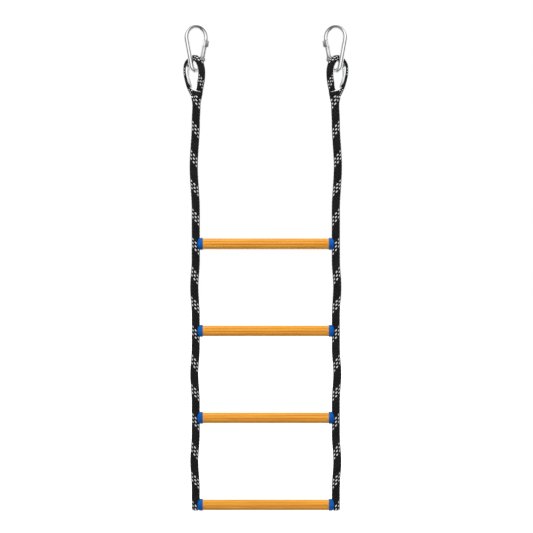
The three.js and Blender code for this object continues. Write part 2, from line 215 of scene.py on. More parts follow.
def maths(tree, operation, a, b=0.0, c=0.0):
    """One arithmetic step; a, b and c are values or other nodes' outputs."""
    return node(tree, "Math", {0: a, 1: b, 2: c}, operation=operation).outputs[0]


def ramp(tree, factor, stops):
    """A colour ramp over factor, from a list of (position, colour)."""
    made = node(tree, "ValToRGB", {0: factor})
    elements = made.color_ramp.elements
    while len(elements) < len(stops):
        elements.new(0.5)
    for element, (position, colour) in zip(elements, stops):
        element.position = position
        element.color = (*colour, 1)
    return made.outputs[0]


def mix(tree, factor, a, b, blend="MIX"):
    """Two colours blended by factor; each is a value or another node's output."""
    made = node(tree, "Mix", data_type="RGBA", blend_type=blend)
    for key, value in ((0, factor), (6, a), (7, b)):
        if isinstance(value, bpy.types.NodeSocket):
            tree.links.new(value, made.inputs[key])
        else:
            made.inputs[key].default_value = value if key == 0 else (*value, 1)
    return made.outputs[2]


def shader(name, **constants):
    """A material with one Principled shader, whose constants are set on its own sockets."""
    material = bpy.data.materials.new(name)
    material.use_nodes = True
    principled = material.node_tree.nodes["Principled BSDF"]
    for key, value in constants.items():
        principled.inputs[key.replace("_", " ")].default_value = value
    return material, material.node_tree, principled


def noise(tree, scale, detail=3.0, stretch=(1, 1, 1)):
    """Noise in the object's own metres, drawn out along an axis where stretch is below 1."""
    where = node(tree, "TexCoord").outputs["Object"]
    mapping = node(tree, "Mapping", {"Vector": where, "Scale": stretch})
    return node(
        tree, "TexNoise",
        {"Vector": mapping.outputs[0], "Scale": scale, "Detail": detail, "Roughness": 0.5},
    ).outputs[0]


def bump(tree, principled, height, strength, distance):
    """Fine surface relief, distance metres deep."""
    made = node(tree, "Bump", {"Height": height, "Strength": strength, "Distance": distance})
    tree.links.new(made.outputs[0], principled.inputs["Normal"])


def rope_material(name, tracers):
    """Black braid, with light tracer yarns of one hand found from the braid's own UV map.

    A yarn shows where it passes over one of the other hand, as a lozenge of the diamond braid. a and b count
    the yarns of each hand, and across and down run over the lozenge from -0.5 to 0.5.
    """
    material, tree, principled = shader(name, Roughness=0.85, Specular_IOR_Level=0.12)
    uv = node(tree, "UVMap", uv_map="braid").outputs[0]
    split = node(tree, "SeparateXYZ", {0: uv})
    turns, along = split.outputs[0], split.outputs[1]
    a = maths(tree, "MULTIPLY_ADD", maths(tree, "ADD", along, turns), CARRIERS, 0.5)
    b = maths(tree, "MULTIPLY_ADD", maths(tree, "SUBTRACT", along, turns), CARRIERS, 0.5)
    cell_a, cell_b = maths(tree, "FLOOR", a), maths(tree, "FLOOR", b)
    from_a = maths(tree, "SUBTRACT", maths(tree, "FRACT", a), 0.5)
    from_b = maths(tree, "SUBTRACT", maths(tree, "FRACT", b), 0.5)
    odd = maths(tree, "FLOORED_MODULO", maths(tree, "ADD", cell_a, cell_b), 2.0)
    a_over = maths(tree, "LESS_THAN", odd, 0.5)
    b_over = maths(tree, "SUBTRACT", 1.0, a_over)
    across = maths(
        tree, "ADD", maths(tree, "MULTIPLY", from_a, a_over), maths(tree, "MULTIPLY", from_b, b_over),
    )
    down = maths(
        tree, "ADD", maths(tree, "MULTIPLY", from_b, a_over), maths(tree, "MULTIPLY", from_a, b_over),
    )
    lozenge = maths(
        tree, "ADD",
        maths(tree, "POWER", maths(tree, "MULTIPLY", maths(tree, "ABSOLUTE", across), 4.0), 2.4),
        maths(tree, "POWER", maths(tree, "MULTIPLY", maths(tree, "ABSOLUTE", down), 1.75), 3.0),
    )
    inside = maths(tree, "LESS_THAN", lozenge, 0.95)
    yarn = maths(tree, "FLOORED_MODULO", maths(tree, "ADD", cell_a, 1.0), CARRIERS)
    tracer = maths(tree, "LESS_THAN", yarn, tracers - 0.5)
    light = maths(tree, "MULTIPLY", maths(tree, "MULTIPLY", tracer, a_over), inside)

    grain = noise(tree, 900, 3)
    patches = noise(tree, 45, 4)
    black = ramp(tree, patches, [(0.3, (0.009, 0.009, 0.0095)), (0.72, (0.026, 0.026, 0.028))])
    worn = mix(tree, maths(tree, "MULTIPLY", grain, 0.5), black, (0.034, 0.034, 0.036))
    # Painted shade: the yarns' colour darkens towards each lozenge's edges, where the braid dips between
    # crossing yarns.
    edge = maths(tree, "MAXIMUM", maths(tree, "ABSOLUTE", across), maths(tree, "ABSOLUTE", down))
    painted_crease_shade = ramp(tree, edge, [(0.16, (1, 1, 1)), (0.5, (0.12, 0.12, 0.12))])
    dark = mix(tree, 1.0, worn, painted_crease_shade, "MULTIPLY")
    silver = mix(tree, grain, (0.45, 0.46, 0.47), (0.9, 0.9, 0.89))
    tree.links.new(mix(tree, light, dark, silver), principled.inputs["Base Color"])

    wander = maths(tree, "MULTIPLY", grain, 5.0)
    strands = maths(tree, "SINE", maths(tree, "MULTIPLY_ADD", across, 44.0, wander))
    height = maths(tree, "MULTIPLY_ADD", strands, 0.3, maths(tree, "MULTIPLY", grain, 0.8))
    bump(tree, principled, height, 0.55, 0.0006)
    return material


def zinc_material(name, colour, roughness, spangle):
    """Zinc plating: a faint cloudiness and a fine grain in its colour, roughness and surface."""
    material, tree, principled = shader(name, Metallic=1.0, Specular_IOR_Level=0.5)
    cloud = noise(tree, 60, 5)
    fine = noise(tree, 700, 4)
    light = tuple(min(1.0, c * 1.07) for c in colour)
    dark = tuple(c * (1 - spangle) for c in colour)
    tree.links.new(ramp(tree, cloud, [(0.3, dark), (0.7, light)]), principled.inputs["Base Color"])
    least = maths(tree, "MULTIPLY_ADD", fine, 0.1, roughness - 0.12)
    rough = maths(tree, "MULTIPLY_ADD", cloud, 0.16, least)
    tree.links.new(rough, principled.inputs["Roughness"])
    bump(tree, principled, maths(tree, "ADD", fine, maths(tree, "MULTIPLY", cloud, 1.5)), 0.08, 0.0003)
    return material


def resin_material():
    """Amber resin: lengthwise flow lines of paler and deeper orange, and pale specks of dust."""
    material, tree, principled = shader(
        "tube_resin", Coat_Weight=0.1, Coat_Roughness=0.2, Specular_IOR_Level=0.3, IOR=1.52,
    )
    flow = noise(tree, 260, 4, (0.03, 1, 1))
    cloud = noise(tree, 9, 3, (0.6, 1, 1))
    specks = noise(tree, 480, 2)
    base = ramp(tree, flow, [
        (0.3, (0.62, 0.23, 0.01)), (0.55, (0.74, 0.31, 0.018)), (0.8, (0.86, 0.43, 0.05)),
    ])
    clouded = mix(tree, maths(tree, "MULTIPLY", cloud, 0.3), base, (0.9, 0.38, 0.04))
    dust = ramp(tree, specks, [(0.66, (0, 0, 0)), (0.78, (0.2, 0.2, 0.2))])
    dusty = mix(tree, dust, clouded, (0.95, 0.62, 0.25))
    tree.links.new(dusty, principled.inputs["Base Color"])
    tree.links.new(maths(tree, "MULTIPLY_ADD", flow, 0.25, 0.24), principled.inputs["Roughness"])
    bump(tree, principled, maths(tree, "ADD", flow, maths(tree, "MULTIPLY", specks, 0.35)), 0.15, 0.0003)
    return material


def cap_material():
    """Moulded blue plastic with a fine spark-eroded grain and slightly paler worn spots."""
    material, tree, principled = shader("cap_plastic", Specular_IOR_Level=0.12, IOR=1.5)
    cloud = noise(tree, 55, 4)
    grain = noise(tree, 1300, 2)
    scuffs = noise(tree, 210, 5, (1, 1, 0.3))
    base = ramp(tree, cloud, [(0.3, (0.001, 0.075, 0.36)), (0.7, (0.002, 0.12, 0.46))])
    worn = ramp(tree, scuffs, [(0.62, (0, 0, 0)), (0.75, (0.4, 0.4, 0.4))])
    scuffed = mix(tree, worn, base, (0.02, 0.2, 0.62))
    tree.links.new(scuffed, principled.inputs["Base Color"])
    tree.links.new(maths(tree, "MULTIPLY_ADD", grain, 0.16, 0.26), principled.inputs["Roughness"])
    bump(tree, principled, grain, 0.3, 0.0002)
    return material


def core_material():
    """Dark laid cord inside the rungs: slanting strands with a fibrous grain."""
    material, tree, principled = shader("core_cord", Roughness=0.85, Specular_IOR_Level=0.3)
    where = node(tree, "SeparateXYZ", {0: node(tree, "TexCoord").outputs["Object"]})
    lay = maths(tree, "MULTIPLY_ADD", where.outputs[0], 600, maths(tree, "MULTIPLY", where.outputs[2], 500))
    strands = maths(tree, "MULTIPLY_ADD", maths(tree, "SINE", lay), 0.5, 0.5)
    grain = noise(tree, 900, 3)
    # Painted shade: the colour darkens in the grooves between strands, where the bump is low, mixed with a
    # random fibrous grain.
    shade = maths(tree, "MULTIPLY", strands, grain)
    colour = ramp(tree, shade, [(0.1, (0.008, 0.008, 0.009)), (0.6, (0.035, 0.035, 0.037))])
    tree.links.new(colour, principled.inputs["Base Color"])
    bump(tree, principled, maths(tree, "MULTIPLY_ADD", grain, 0.4, strands), 0.5, 0.0006)
    return material


ROPE = rope_material("rope_braid", TRACER_YARNS)
PLAIN_ROPE = rope_material("rope_braid_plain", 0)
CORE = core_material()
HOOK_ZINC = zinc_material("hook_plating", (0.86, 0.865, 0.87), 0.11, 0.08)
GATE_ZINC = zinc_material("gate_plating", (0.78, 0.785, 0.79), 0.26, 0.2)
THIMBLE_ZINC = zinc_material("thimble_plating", (0.86, 0.865, 0.87), 0.18, 0.08)
STEEL = zinc_material("pin_steel", (0.6, 0.61, 0.63), 0.36, 0.15)
RESIN = resin_material()
CAP_BLUE = cap_material()


# ---------------------------------------------------------------- mesh helpers
def mesh_piece(name, points, faces, material, uv=None, side=-1, smooth=35):
    """A mesh object from millimetre points drawn for the left side; side 1 mirrors it."""
    points = np.array(points, float) * MM
    if side > 0:
        points[:, 0] *= -1
    mesh = bpy.data.meshes.new(name)
    mesh.from_pydata(points.tolist(), [], [list(map(int, f)) for f in faces])
    if uv is not None:
        layer = mesh.uv_layers.new(name="braid")
        layer.data.foreach_set("uv", np.array(uv, np.float32).ravel())
    bm = bmesh.new()
    bm.from_mesh(mesh)
    bmesh.ops.recalc_face_normals(bm, faces=bm.faces)
    bm.to_mesh(mesh)
    bm.free()
    mesh.shade_smooth()
    mesh.set_sharp_from_angle(angle=math.radians(smooth))
    mesh.materials.append(material)
    made = bpy.data.objects.new(name, mesh)
    bpy.context.scene.collection.objects.link(made)
    return made


def ring_faces(rings, around):
    """Quads between rings of points, and one face over each end."""
    i, j = np.meshgrid(np.arange(rings - 1), np.arange(around), indexing="ij")
    k = (j + 1) % around
    quads = np.stack([i * around + j, i * around + k, (i + 1) * around + k, (i + 1) * around + j], -1)
    ends = [list(range(around)), list(range((rings - 1) * around, rings * around))]
    return quads.reshape(-1, 4).tolist() + ends


def ring_uv(along, turns):
    """The braid UV of ring_faces: turns round the rope, and pitches along it at each ring and column."""
    rings, around = along.shape
    wide = np.hstack([along, along[:, :1]])
    step = np.append(turns, turns[0] + 1)
    corner = [(0, 0), (0, 1), (1, 1), (1, 0)]
    u = np.stack([np.broadcast_to(step[dj:dj + around], (rings - 1, around)) for _, dj in corner], -1)
    v = np.stack([wide[di:di + rings - 1, dj:dj + around] for di, dj in corner], -1)
    quads = np.stack([u, v], -1).reshape(-1, 2)
    ends = np.vstack([np.stack([turns, along[0]], -1), np.stack([turns, along[-1]], -1)])
    return np.vstack([quads, ends])


def braid_height(turns, along):
    """Relief, 0 to 1, of a diamond braid of 16 carriers, 8 of each hand."""
    a = CARRIERS * (along + turns) + 0.5
    b = CARRIERS * (along - turns) + 0.5
    over = (np.floor(a) + np.floor(b)) % 2 == 0
    from_a, from_b = a - np.floor(a) - 0.5, b - np.floor(b) - 0.5
    across = np.where(over, from_a, from_b)
    down = np.where(over, from_b, from_a)
    return 1 - 0.62 * (2 * np.abs(across)) ** 2.2 - 0.38 * (2 * np.abs(down)) ** 3


def lathe(profile, axis_sides):
    """Points and faces of a profile of (radius, height) turned about Z."""
    angle = np.arange(axis_sides) * 2 * math.pi / axis_sides
    rings = [
        np.stack([r * np.cos(angle), r * np.sin(angle), np.full(axis_sides, z)], -1)
        for r, z in profile
    ]
    return np.vstack(rings), ring_faces(len(profile), axis_sides)


def sweep(centres, normal, binormal, section):
    """Rings of section points (n, b) carried along centres; section may change from ring to ring."""
    rings = [
        c + np.outer(s[:, 0], n) + np.outer(s[:, 1], b)
        for c, n, b, s in zip(centres, normal, binormal, section)
    ]
    return np.vstack(rings), ring_faces(len(rings), len(section[0]))


def turned(points, angle, x, y):
    """The points turned about Z, then moved."""
    points = np.array(points, float)
    c, s = math.cos(angle), math.sin(angle)
    out = points.copy()
    out[:, 0] = points[:, 0] * c - points[:, 1] * s + x
    out[:, 1] = points[:, 0] * s + points[:, 1] * c + y
    return out


def smoothstep(value, low, high):
    """Eased step from 0 at low to 1 at high."""
    t = np.clip((np.asarray(value, float) - low) / (high - low), 0, 1)
    return t * t * (3 - 2 * t)


# ---------------------------------------------------------------- side ropes
def rung_z(n):
    """Height of a rung, counted from 0 at the top."""
    return FIRST_RUNG_Z - n * RUNG_PITCH


def rope_x(z):
    """Distance of the rope's centreline inside SIDE_X, negative where it bows outwards."""
    def bow(top, bottom, depth):
        share = min(max((top - z) / (top - bottom), 0.0), 1.0)
        return -depth * math.sin(math.pi * share) ** 2

    if z > FIRST_RUNG_Z:
        inset = SPLICE_INSET * (1 - float(smoothstep(SPLICE_END_Z - z, 0, INSET_LENGTH)))
        return inset + bow(TOP_BOW_FROM, TOP_BOW_TO, TOP_BOW)
    bay = min(int((FIRST_RUNG_Z - z) // RUNG_PITCH), RUNG_COUNT - 1)
    if bay == RUNG_COUNT - 1:
        return 0.0
    return bow(rung_z(bay) - STRAIGHT_AT_RUNG, rung_z(bay + 1) + STRAIGHT_AT_RUNG, BAY_BOW)


def rope_piece(name, top, bottom, side, foot=False):
    """A braided stretch of side rope along rope_x, and its centreline. A foot's cut end is rounded over."""
    count = int(round((top - bottom) / ROPE_RING)) + 1
    z = np.linspace(top, bottom, count)
    x = np.array([rope_x(v) for v in z])
    slope = np.gradient(x, z)
    turns = np.arange(ROPE_AROUND) / ROPE_AROUND
    along = np.broadcast_to(((z - TRACER_Z) / ROPE_PITCH)[:, None], (count, ROPE_AROUND))
    height = braid_height(turns[None, :], along)
    radius = np.full((count, 1), ROPE_R)
    if foot:
        close = np.clip((z - bottom) / FOOT_ROUNDING, 0, 1)[:, None]
        radius = ROPE_R - FOOT_ROUNDING * (1 - np.sqrt(1 - (1 - close) ** 2))
    reach = radius - BRAID_DEPTH * (1 - height)
    angle = 2 * math.pi * turns
    n = np.stack([np.cos(np.arctan(slope)), np.zeros(count), -np.sin(np.arctan(slope))], -1)
    centre = np.stack([x - SIDE_X, np.zeros(count), z], -1)
    points = (
        centre[:, None, :]
        + (reach * np.sin(angle)[None, :])[..., None] * n[:, None, :]
        + (reach * -np.cos(angle)[None, :])[..., None] * np.array([0.0, 1.0, 0.0])
    )
    made = mesh_piece(
        name, points.reshape(-1, 3), ring_faces(count, ROPE_AROUND), ROPE, ring_uv(along, turns), side, 80,
    )
    path = np.vstack([centre[::PATH_STEP], centre[-1:]]) * MM
    if side > 0:
        path[:, 0] *= -1
    return made, path.tolist()


def hang_ropes(side, label):
    """One side's rope, in a stretch from the splice to the top rung and one for each bay below it."""
    stretches = [("top", SPLICE_END_Z, rung_z(0), "hanger", "rung_1", TOP_FOLD_Z)]
    for n in range(RUNG_COUNT - 1):
        bottom = rung_z(n + 1) if n < RUNG_COUNT - 2 else LADDER_FOOT_Z
        middle = rung_z(n) - RUNG_PITCH / 2
        stretches.append((f"bay_{n + 1}", rung_z(n), bottom, f"rung_{n + 1}", f"rung_{n + 2}", middle))
    for index, (part, top, bottom, above, below, fold) in enumerate(stretches):
        foot = index == len(stretches) - 1
        made, path = rope_piece(f"{label}_side_rope_{part}", top, bottom, side, foot)
        middle = (side * SIDE_X * MM, 0)
        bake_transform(made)
        stands_for = ["rope_top", "rope_1"] if index == 0 else [f"rope_{index + 1}"]
        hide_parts(*(f"{label}_{solid}" for solid in stands_for))


# ---------------------------------------------------------------- spliced eye and thimble
def catmull_rom(points, per_span):
    """Centripetal Catmull-Rom spline through the points, with mirrored end points."""
    p = np.array(points, float)
    p = np.vstack([2 * p[0] - p[1], p, 2 * p[-1] - p[-2]])
    out = []
    for i in range(1, len(p) - 2):
        x0, x1, x2, x3 = p[i - 1], p[i], p[i + 1], p[i + 2]
        d0, d1, d2 = (math.sqrt(np.linalg.norm(b - a)) for a, b in ((x0, x1), (x1, x2), (x2, x3)))
        t1 = ((x1 - x0) / d0 - (x2 - x0) / (d0 + d1) + (x2 - x1) / d1) * d1
        t2 = ((x2 - x1) / d1 - (x3 - x1) / (d1 + d2) + (x3 - x2) / d2) * d1
        for t in np.arange(per_span) / per_span:
            square = -3 * x1 + 3 * x2 - 2 * t1 - t2
            cube = 2 * x1 - 2 * x2 + t1 + t2
            out.append(x1 + t1 * t + square * t ** 2 + cube * t ** 3)
    out.append(p[-2])
    return np.array(out)


def resampled(points, count):
    """The same line with count evenly spaced points, and its length."""
    length = np.append(0, np.cumsum(np.linalg.norm(np.diff(points, axis=0), axis=1)))
    wanted = np.linspace(0, length[-1], count)
    columns = [np.interp(wanted, length, points[:, k]) for k in range(points.shape[1])]
    return np.stack(columns, -1), length[-1]


EYE_LINE, EYE_LENGTH = resampled(catmull_rom(EYE_ROUTE, 40), EYE_STATIONS)


def eye_frames():
    """Centres, the direction into the eye and the eye plane's front normal, along EYE_LINE."""
    run = np.gradient(EYE_LINE, axis=0)
    run /= np.linalg.norm(run, axis=1)[:, None]
    centres = np.stack([EYE_LINE[:, 0], np.zeros(len(run)), EYE_LINE[:, 1]], -1)
    inward = np.stack([run[:, 1], np.zeros(len(run)), -run[:, 0]], -1)
    front = np.tile([0.0, -1.0, 0.0], (len(run), 1))
    return centres, inward, front


def eye_to_row(points):
    """From the eye's own plane to the ladder's axes."""
    return turned(points, -EYE_TURN, -(SIDE_X - SPLICE_INSET), 0)


def eye_piece(side, label):
    """The rope of the eye, braided all round its loop."""
    centres, inward, front = eye_frames()
    turns = np.arange(EYE_AROUND) / EYE_AROUND
    s = np.linspace(0, EYE_LENGTH, len(centres))
    along = np.broadcast_to((s / EYE_PITCH + EYE_PHASE)[:, None], (len(s), EYE_AROUND))
    height = braid_height(turns[None, :], along)
    reach = EYE_ROPE_R - EYE_BRAID_DEPTH * (1 - height)
    angle = 2 * math.pi * turns
    section = np.stack([reach * np.sin(angle), reach * np.cos(angle)], -1)
    points, faces = sweep(centres, inward, front, section)
    made = mesh_piece(f"{label}_eye", eye_to_row(points), faces, ROPE, ring_uv(along, turns), side, 80)
    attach(made, "hanger")
    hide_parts(f"{label}_eye_splice")


def splice_piece(side, label):
    """The tapered splice: at its top it holds the eye's two legs, at its foot it is the round side rope.

    Each ray from its middle runs out to the further of the two legs' round outlines, or to the flat waist
    that fills the room between them.
    """
    around, count = SPLICE_AROUND, SPLICE_STATIONS
    z = np.linspace(SPLICE_TOP_Z + CROTCH_RISE, SPLICE_END_Z - 0.5, count)
    share = np.clip((SPLICE_TOP_Z - z) / (SPLICE_TOP_Z - SPLICE_END_Z), 0, 1)
    eased = smoothstep(share, 0, 1)
    turns = np.arange(around) / around
    angle = 2 * math.pi * turns
    heading = np.stack([np.sin(angle), -np.cos(angle)], -1)
    c, sn = math.cos(EYE_TURN), math.sin(EYE_TURN)
    local = np.stack([heading[:, 0] * c - heading[:, 1] * sn, heading[:, 0] * sn + heading[:, 1] * c], -1)
    reach = np.zeros((count, around))
    for i, e in enumerate(eased):
        radius = EYE_ROPE_R + (ROPE_R - EYE_ROPE_R) * e - 0.05
        best = np.zeros(around)
        for centre in (EYE_ROUTE[0][0], EYE_ROUTE[-1][0]):
            u = centre * (1 - e)
            along_u = local[:, 0] * u
            inside = radius ** 2 - u ** 2 + along_u ** 2
            best = np.maximum(best, np.where(inside > 0, along_u + np.sqrt(np.maximum(inside, 0)), 0))
        longer = radius + CROTCH_WEB * (1 - e)
        waist = radius / np.sqrt(local[:, 1] ** 2 + (local[:, 0] * radius / longer) ** 2)
        reach[i] = np.maximum(best, waist * (0.86 + 0.14 * e))
    crotch = np.clip((z - SPLICE_TOP_Z) / CROTCH_RISE, 0, 1)[:, None]
    reach = reach * (1 - 0.55 * crotch ** 1.5)
    along = np.broadcast_to(((z - TRACER_Z) / ROPE_PITCH)[:, None], (count, around))
    reach = reach - BRAID_DEPTH * (1 - braid_height(turns[None, :], along))
    points = np.stack(
        [
            reach * heading[None, :, 0] - (SIDE_X - SPLICE_INSET),
            reach * heading[None, :, 1],
            np.broadcast_to(z[:, None], reach.shape),
        ], -1,
    )
    faces = ring_faces(count, around)
    made = mesh_piece(f"{label}_splice", points.reshape(-1, 3), faces, ROPE, ring_uv(along, turns), side, 80)
    made.data.materials.append(PLAIN_ROPE)
    for face in made.data.polygons:
        if face.center.z > CROTCH_Z * MM:
            face.material_index = 1
    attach(made, "hanger")


def thimble_piece(side, label):
    """A gutter round the inside of the eye, with rolled lips and ends that narrow."""
    centres, inward, front = eye_frames()
    first = int(THIMBLE_FROM * (EYE_STATIONS - 1))
    last = int(THIMBLE_TO * (EYE_STATIONS - 1)) + 1
    span = np.arange(first, last)
    inner, outer = EYE_ROPE_R + GAP, EYE_ROPE_R + GAP + THIMBLE_WALL
    sections = []
    for i in span:
        from_end = min(i - first, last - 1 - i)
        tip = smoothstep(from_end, 0, THIMBLE_TIP)
        wrap = THIMBLE_WRAP * (0.3 + 0.7 * float(tip))
        psi = np.linspace(-wrap, wrap, 25)
        lip = THIMBLE_LIP * np.clip((np.abs(psi) - wrap + LIP_ANGLE) / LIP_ANGLE, 0, 1) ** 0.6
        back = np.stack([(outer + lip) * np.cos(psi), (outer + lip) * np.sin(psi)], -1)
        front_face = np.stack([inner * np.cos(psi[::-1]), inner * np.sin(psi[::-1])], -1)
        rolled = []
        for sign in (1, -1):
            end = sign * wrap
            middle, half = (inner + outer + THIMBLE_LIP) / 2, (outer + THIMBLE_LIP - inner) / 2
            for t in (0.25, 0.5, 0.75):
                bulge = end + sign * half * math.sin(math.pi * t) * 0.7 / middle
                r = middle + half * math.cos(math.pi * t)
                rolled.append((r * math.cos(bulge), r * math.sin(bulge)))
        sections.append(np.vstack([back, rolled[:3], front_face, rolled[3:][::-1]]))
    points, faces = sweep(centres[span], inward[span], front[span], sections)
    made = mesh_piece(f"{label}_eye_thimble", eye_to_row(points), faces, THIMBLE_ZINC, None, side, 40)
    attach(made, "hanger")
    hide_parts(f"{label}_thimble")


def thimble_tail(side, label):
    """The thimble's drawn-out tail, folded over the crotch, on the front of both of the eye's legs."""
    line, _ = resampled(catmull_rom(TAIL_ROUTE, 12), 44)
    share = np.linspace(0, 1, len(line))
    half = TAIL_HALF_WIDTH * (1 - 0.72 * share ** 1.3)
    run = np.gradient(line, axis=0)
    run /= np.linalg.norm(run, axis=1)[:, None]
    out = np.array([0.0, -1.0, 0.0]) + run * run[:, 1:2]
    out /= np.linalg.norm(out, axis=1)[:, None]
    across = np.cross(run, out)
    outline = np.array([
        (1, 0), (0.8, 0.7), (0.35, 1), (-0.35, 1), (-0.8, 0.7), (-1, 0), (-0.8, -0.5), (0.8, -0.5),
    ])
    points, faces = sweep(line, across, out, [outline * (h, 1.0) for h in half])
    made = mesh_piece(f"{label}_thimble_tail", points, faces, THIMBLE_ZINC, None, side, 50)
    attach(made, "hanger")


# ---------------------------------------------------------------- snap hooks
CROWN_Z = ROD_R - CROWN_R
BEND_BOTTOM_Z = HOOK_LOWEST_Z + ROD_R
BEND_R = (CROWN_R + (BEND_BOTTOM_Z - CROWN_Z) * math.sin(TAPER)) / (1 - math.sin(TAPER))
BEND_Z = BEND_BOTTOM_Z + BEND_R


def side_at(z):
    """Distance of the hook's tapering sides from its axis at a height."""
    return (CROWN_R + (z - CROWN_Z) * math.sin(TAPER)) / math.cos(TAPER)


def along_side(distance):
    """The point that far up the gate's side from the hinge."""
    return np.array([side_at(HINGE_Z) + distance * math.sin(TAPER), HINGE_Z + distance * math.cos(TAPER)])


def on_arc(centre_z, radius, angle):
    """Points of an arc centred on the hook's axis."""
    return np.stack([radius * np.cos(angle), centre_z + radius * np.sin(angle)], -1)


def hook_to_row(points):
    """From the hook's own plane to the ladder's axes."""
    return turned(points, HOOK_TURN, HOOK_X, HOOK_Y)


def gate_to_hook(points):
    """From the gate's own frame, along the gate from its hinge, to the hook's."""
    points = np.array(points, float)
    c, s = math.cos(TAPER), math.sin(TAPER)
    origin = along_side(0)
    x = points[:, 0] * c + points[:, 2] * s + origin[0]
    z = -points[:, 0] * s + points[:, 2] * c + origin[1]
    return np.stack([x, points[:, 1], z], -1)


def hook_rod():
    """The bent rod: hinge end, bottom bend, spine, crown and nose end, with softened end edges."""
    parts = [
        np.array([along_side(-SHOULDER)]),
        on_arc(BEND_Z, BEND_R, np.linspace(-TAPER, -math.pi + TAPER, 60)),
        on_arc(CROWN_Z, CROWN_R, np.linspace(math.pi + TAPER, -TAPER, 80)),
        np.array([along_side(NOSE_SHOULDER)]),
    ]
    line, _ = resampled(np.vstack(parts), ROD_STATIONS)
    run = np.gradient(line, axis=0)
    run /= np.linalg.norm(run, axis=1)[:, None]
    centres = np.stack([line[:, 0], np.zeros(len(line)), line[:, 1]], -1)
    normal = np.stack([run[:, 1], np.zeros(len(line)), -run[:, 0]], -1)
    binormal = np.tile([0.0, 1.0, 0.0], (len(line), 1))
    angle = np.arange(ROD_SIDES) * 2 * math.pi / ROD_SIDES
    circle = np.stack([np.cos(angle), np.sin(angle)], -1)
    step = np.linalg.norm(line[1] - line[0])
    sections = []
    for i in range(len(line)):
        from_end = min(i, len(line) - 1 - i) * step
        sections.append(circle * (ROD_R - 0.7 * max(0.0, 1 - from_end / ROD_END_ROUNDING) ** 2))
    return sweep(centres, normal, binormal, sections)


class Solid:
    """A closed solid in a local frame, cut and joined with Blender's exact booleans."""

    def __init__(self, points, faces):
        mesh = bpy.data.meshes.new("solid")
        mesh.from_pydata(np.array(points, float).tolist(), [], [list(map(int, f)) for f in faces])
        bm = bmesh.new()
        bm.from_mesh(mesh)
        bmesh.ops.remove_doubles(bm, verts=bm.verts, dist=1e-5)
        bmesh.ops.recalc_face_normals(bm, faces=bm.faces)
        bm.to_mesh(mesh)
        bm.free()
        self.object = bpy.data.objects.new("solid", mesh)
        bpy.context.scene.collection.objects.link(self.object)

    def combine(self, other, operation):
        """Joins with another solid, or is cut by it; the other is used up."""
        modifier = self.object.modifiers.new("cut", "BOOLEAN")
        modifier.object, modifier.operation, modifier.solver = other.object, operation, "EXACT"
        self.bake()
        bpy.data.objects.remove(other.object)
        return self

    def bake(self):
        """Applies the modifiers to the mesh."""
        evaluated = self.object.evaluated_get(bpy.context.evaluated_depsgraph_get())
        mesh = bpy.data.meshes.new_from_object(evaluated)
        self.object.modifiers.clear()
        self.object.data = mesh

    def soften(self, width, segments=2, angle=30):
        """Rounds every edge sharper than angle."""
        modifier = self.object.modifiers.new("edge", "BEVEL")
        modifier.width, modifier.segments = width, segments
        modifier.limit_method, modifier.angle_limit = "ANGLE", math.radians(angle)
        modifier.use_clamp_overlap = True
        self.bake()
        return self

    def taken(self):
        """The solid's points and faces, and the object is dropped."""
        mesh = self.object.data
        points = np.array([v.co for v in mesh.vertices], float).reshape(-1, 3)
        faces = [list(p.vertices) for p in mesh.polygons]
        bpy.data.objects.remove(self.object)
        return points, faces


def rod(radius, low, high, axis="z", sides=48):
    """A round bar on an axis, from low to high."""
    points, faces = lathe([(radius, low), (radius, high)], sides)
    order = {"z": [0, 1, 2], "y": [0, 2, 1], "x": [2, 1, 0]}[axis]
    return Solid(points[:, order], faces)


def block(low, high):
    """A box between two opposite corners."""
    corners = [(x, y, z) for z in (low[2], high[2]) for x, y in
               ((low[0], low[1]), (high[0], low[1]), (high[0], high[1]), (low[0], high[1]))]
    return Solid(corners, ring_faces(2, 4))


def nose():
    """The nose's neck and T-shaped head, flat towards the inside of the hook."""
    stem = rod(ROD_R - 2 * GAP, NOSE_TIP, NOSE_SHOULDER + 1)
    wide, top = ROD_R + 1, NOSE_SHOULDER + 2
    stem.combine(block((-wide, -wide, NOSE_TIP - 1), (NOSE_FLAT_X, wide, top)), "DIFFERENCE")
    stem.combine(block((-wide, NOSE_HALF_NECK, NOSE_NECK), (wide, wide, top)), "DIFFERENCE")
    stem.combine(block((-wide, -wide, NOSE_NECK), (wide, -NOSE_HALF_NECK, top)), "DIFFERENCE")
    return stem.soften(0.35).taken()


def tongue():
    """The flat hinge end of the rod, bored for the rivet."""
    half = TONGUE_HALF_THICKNESS
    end = rod(TONGUE_R, -half, half, "y")
    end.combine(block((-TONGUE_R, -half, -SHOULDER - 0.5), (TONGUE_R, half, 0)), "UNION")
    end.combine(rod(RIVET_R + GAP, -ROD_R, ROD_R, "y", BORE_SIDES), "DIFFERENCE")
    return end.soften(0.3).taken()


def rounded_box(in_x, out_x, half_y, radius, steps=8):
    """Outline of a box with round corners, from in_x to out_x."""
    corners = [
        (out_x - radius, half_y - radius, 0), (in_x + radius, half_y - radius, 1),
        (in_x + radius, radius - half_y, 2), (out_x - radius, radius - half_y, 3),
    ]
    points = []
    for x, y, quarter in corners:
        for angle in (quarter + np.arange(steps + 1) / steps) * math.pi / 2:
            points.append((x + radius * math.cos(angle), y + radius * math.sin(angle)))
    return np.array(points)


def gate_head():
    """The wide head of the gate; its lower end slopes back to the bar."""
    rings = []
    for z, shrink in (
        (HEAD_START, 1.0), (HEAD_START + HEAD_SLOPE, 0.1), (HEAD_START + HEAD_EDGE, 0.0), (GATE_LENGTH, 0.0),
    ):
        out_x = HEAD_OUT - shrink * HEAD_SLOPE_IN
        outline = rounded_box(-ROD_R, out_x, HEAD_HALF_THICKNESS - shrink * HEAD_SLOPE_SIDE, HEAD_CORNER_R)
        rings.append(np.column_stack([outline, np.full(len(outline), z)]))
    return Solid(np.vstack(rings), ring_faces(len(rings), len(rings[0])))


